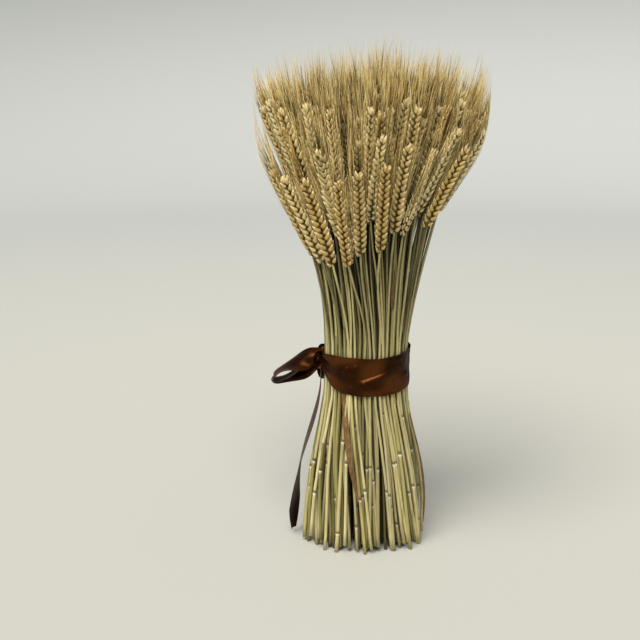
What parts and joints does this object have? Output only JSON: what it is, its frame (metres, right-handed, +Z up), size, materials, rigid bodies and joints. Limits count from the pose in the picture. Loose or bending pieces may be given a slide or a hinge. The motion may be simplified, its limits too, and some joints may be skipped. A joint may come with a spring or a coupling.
{
  "type": "bundle of dried wheat",
  "caption": "Standing sheaf of dried bearded wheat, flared at the head and foot, tied round the waist with a wide brown satin ribbon and a bow at the back.",
  "frame": {"origin": "on the surface it stands on, under the middle of the sheaf", "axes": "+Z up along the stalks, front towards -Y, bow behind on the left at -X"},
  "size_m": [0.2197, 0.219, 0.499],
  "materials": {
    "straw": "dry, satin straw, from olive green above the waist to pale gold at the ears",
    "satin": "dark chocolate brown satin, glossy along its folds"
  },
  "bodies": {
    "root": {"stalks_heart": "straw", "stalks_01": "straw", "stalks_02": "straw", "stalks_03": "straw", "stalks_04": "straw", "stalks_05": "straw", "stalks_06": "straw", "stalks_07": "straw", "stalks_08": "straw", "stalks_09": "straw", "stalks_10": "straw", "stalks_11": "straw", "stalks_12": "straw", "ribbon": "satin"}
  },
  "joints": []
}
